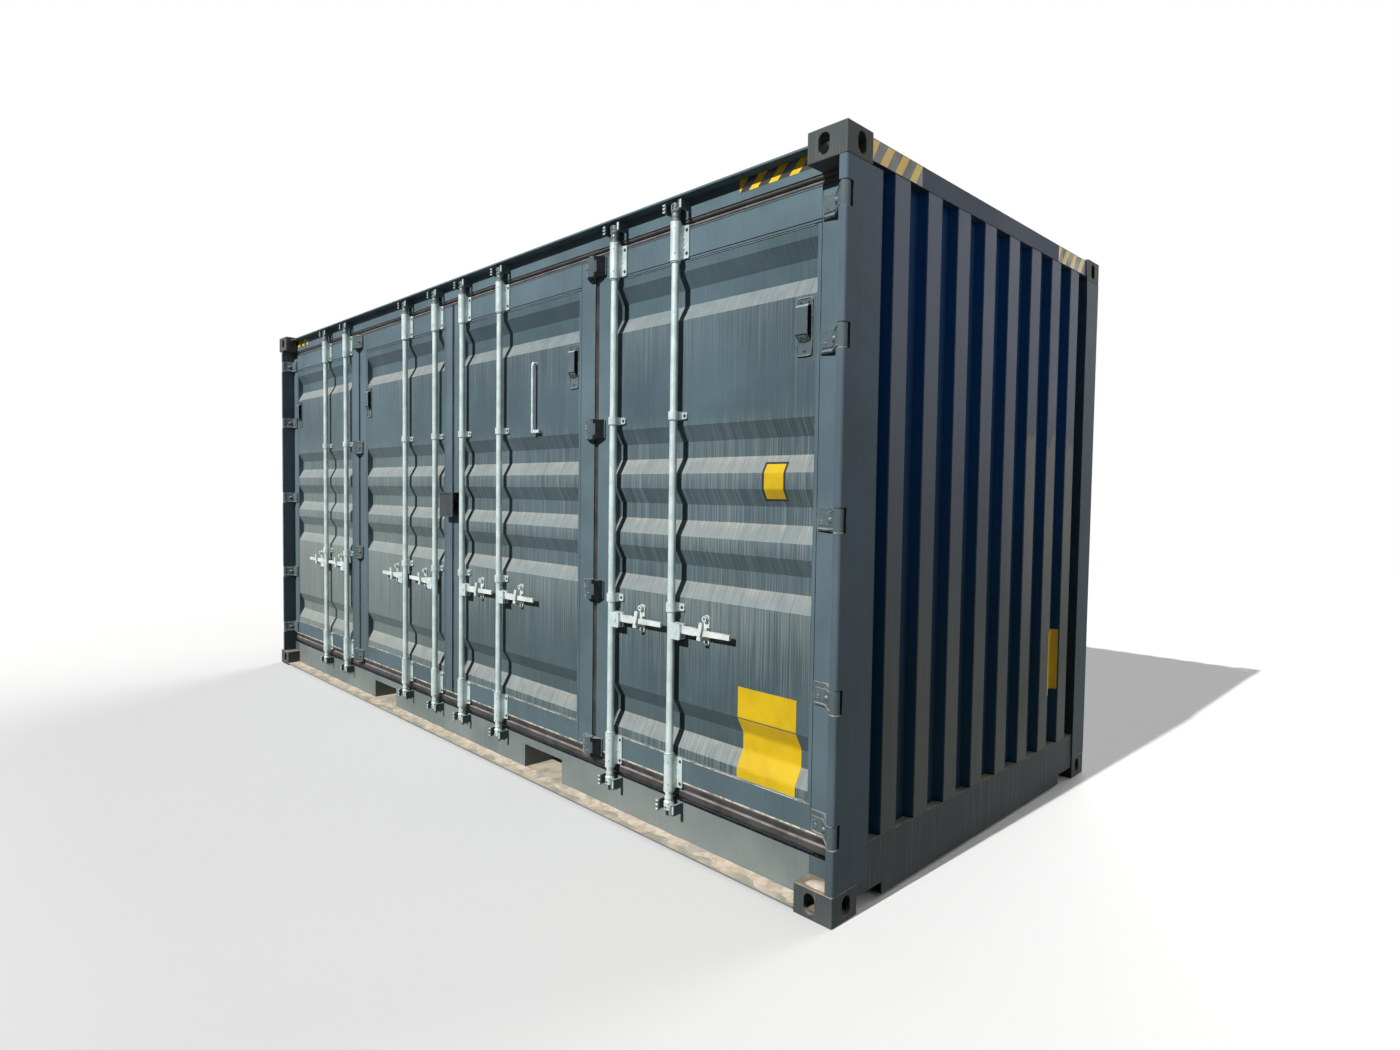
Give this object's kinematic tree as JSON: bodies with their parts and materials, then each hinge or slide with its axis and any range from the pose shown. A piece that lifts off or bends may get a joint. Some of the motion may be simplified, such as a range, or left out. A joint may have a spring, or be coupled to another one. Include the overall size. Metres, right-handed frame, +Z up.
{
  "type": "shipping container",
  "caption": "Steel high-cube box container with folding doors along one side, lock rods with swing handles, fork pockets and corner castings.",
  "frame": {"origin": "centre of the rectangle under the four bottom corner castings, at floor level", "axes": "+X along the length towards the closed corrugated end, -Y out of the door side, +Z up"},
  "size_m": [6.058, 2.438, 2.896],
  "materials": {
    "grey_paint": "weathered slate grey paint",
    "casting_paint": "worn grey paint on cast steel",
    "galvanised": "dull galvanised steel",
    "door_rubber": "dusty black-brown rubber",
    "floor_wood": "plywood boards",
    "white_plastic": "white plastic"
  },
  "bodies": {
    "container": {"back_bottom_rail": "grey_paint", "back_posts": "grey_paint", "back_top_rail": "grey_paint", "back_wall": "grey_paint", "bottom_castings": "casting_paint", "cross_members": "grey_paint", "door_seals": "door_rubber", "end_door_hinges": "grey_paint", "end_doors": "grey_paint", "end_handles": "galvanised", "end_lock_rods": "galvanised", "floor": "floor_wood", "fold_hinges": "grey_paint", "fork_pocket_floors": "grey_paint", "fork_pocket_sides": "grey_paint", "fork_pocket_tops": "grey_paint", "front_bottom_rail": "grey_paint", "front_left_post": "grey_paint", "front_right_post": "grey_paint", "front_top_rail": "grey_paint", "handle_catches": "galvanised", "left_header": "grey_paint", "left_sill": "grey_paint", "lock_box": "grey_paint", "post_hinges": "grey_paint", "right_bottom_rail": "grey_paint", "right_end_wall": "grey_paint", "right_top_rail": "grey_paint", "rod_guides": "galvanised", "rod_keepers": "grey_paint", "roof": "grey_paint", "side_leaf_1_frame": "grey_paint", "side_leaf_1_panel": "grey_paint", "side_leaf_2_frame": "grey_paint", "side_leaf_2_panel": "grey_paint", "side_leaf_3_frame": "grey_paint", "side_leaf_3_panel": "grey_paint", "side_leaf_4_frame": "grey_paint", "side_leaf_4_panel": "grey_paint", "top_castings": "casting_paint", "vents": "grey_paint", "white_tube": "white_plastic"},
    "lock_rod_1": {"lock_rod_1": "galvanised"},
    "handle_1": {"handle_1": "galvanised"},
    "lock_rod_2": {"lock_rod_2": "galvanised"},
    "handle_2": {"handle_2": "galvanised"},
    "lock_rod_3": {"lock_rod_3": "galvanised"},
    "handle_3": {"handle_3": "galvanised"},
    "lock_rod_4": {"lock_rod_4": "galvanised"},
    "handle_4": {"handle_4": "galvanised"},
    "lock_rod_5": {"lock_rod_5": "galvanised"},
    "handle_5": {"handle_5": "galvanised"},
    "lock_rod_6": {"lock_rod_6": "galvanised"},
    "handle_6": {"handle_6": "galvanised"},
    "lock_rod_7": {"lock_rod_7": "galvanised"},
    "handle_7": {"handle_7": "galvanised"},
    "lock_rod_8": {"lock_rod_8": "galvanised"},
    "handle_8": {"handle_8": "galvanised"}
  },
  "joints": [
    {"name": "lock_rod_1_turn", "type": "hinge", "parent": "container", "child": "lock_rod_1", "pos_m": [-2.087, -1.159, 1.5], "axis": [0, 0, 1], "range_deg": [0, 100]},
    {"name": "lock_rod_2_turn", "type": "hinge", "parent": "container", "child": "lock_rod_2", "pos_m": [-1.66, -1.159, 1.5], "axis": [0, 0, 1], "range_deg": [0, 100]},
    {"name": "lock_rod_3_turn", "type": "hinge", "parent": "container", "child": "lock_rod_3", "pos_m": [-0.614, -1.159, 1.5], "axis": [0, 0, 1], "range_deg": [0, 100]},
    {"name": "lock_rod_4_turn", "type": "hinge", "parent": "container", "child": "lock_rod_4", "pos_m": [-0.178, -1.159, 1.5], "axis": [0, 0, 1], "range_deg": [0, 100]},
    {"name": "lock_rod_5_turn", "type": "hinge", "parent": "container", "child": "lock_rod_5", "pos_m": [0.178, -1.159, 1.5], "axis": [0, 0, -1], "range_deg": [0, 100]},
    {"name": "lock_rod_6_turn", "type": "hinge", "parent": "container", "child": "lock_rod_6", "pos_m": [0.614, -1.159, 1.5], "axis": [0, 0, -1], "range_deg": [0, 100]},
    {"name": "lock_rod_7_turn", "type": "hinge", "parent": "container", "child": "lock_rod_7", "pos_m": [1.66, -1.159, 1.5], "axis": [0, 0, -1], "range_deg": [0, 100]},
    {"name": "lock_rod_8_turn", "type": "hinge", "parent": "container", "child": "lock_rod_8", "pos_m": [2.087, -1.159, 1.5], "axis": [0, 0, -1], "range_deg": [0, 100]},
    {"name": "handle_1_lift", "type": "hinge", "parent": "lock_rod_1", "child": "handle_1", "pos_m": [-2.135, -1.159, 0.97], "axis": [0, 1, 0], "range_deg": [0, 30]},
    {"name": "handle_2_lift", "type": "hinge", "parent": "lock_rod_2", "child": "handle_2", "pos_m": [-1.708, -1.159, 0.97], "axis": [0, 1, 0], "range_deg": [0, 30]},
    {"name": "handle_3_lift", "type": "hinge", "parent": "lock_rod_3", "child": "handle_3", "pos_m": [-0.662, -1.159, 0.97], "axis": [0, 1, 0], "range_deg": [0, 30]},
    {"name": "handle_4_lift", "type": "hinge", "parent": "lock_rod_4", "child": "handle_4", "pos_m": [-0.226, -1.159, 0.97], "axis": [0, 1, 0], "range_deg": [0, 30]},
    {"name": "handle_5_lift", "type": "hinge", "parent": "lock_rod_5", "child": "handle_5", "pos_m": [0.226, -1.159, 0.97], "axis": [0, -1, 0], "range_deg": [0, 30]},
    {"name": "handle_6_lift", "type": "hinge", "parent": "lock_rod_6", "child": "handle_6", "pos_m": [0.662, -1.159, 0.97], "axis": [0, -1, 0], "range_deg": [0, 30]},
    {"name": "handle_7_lift", "type": "hinge", "parent": "lock_rod_7", "child": "handle_7", "pos_m": [1.708, -1.159, 0.97], "axis": [0, -1, 0], "range_deg": [0, 30]},
    {"name": "handle_8_lift", "type": "hinge", "parent": "lock_rod_8", "child": "handle_8", "pos_m": [2.135, -1.159, 0.97], "axis": [0, -1, 0], "range_deg": [0, 30]}
  ]
}
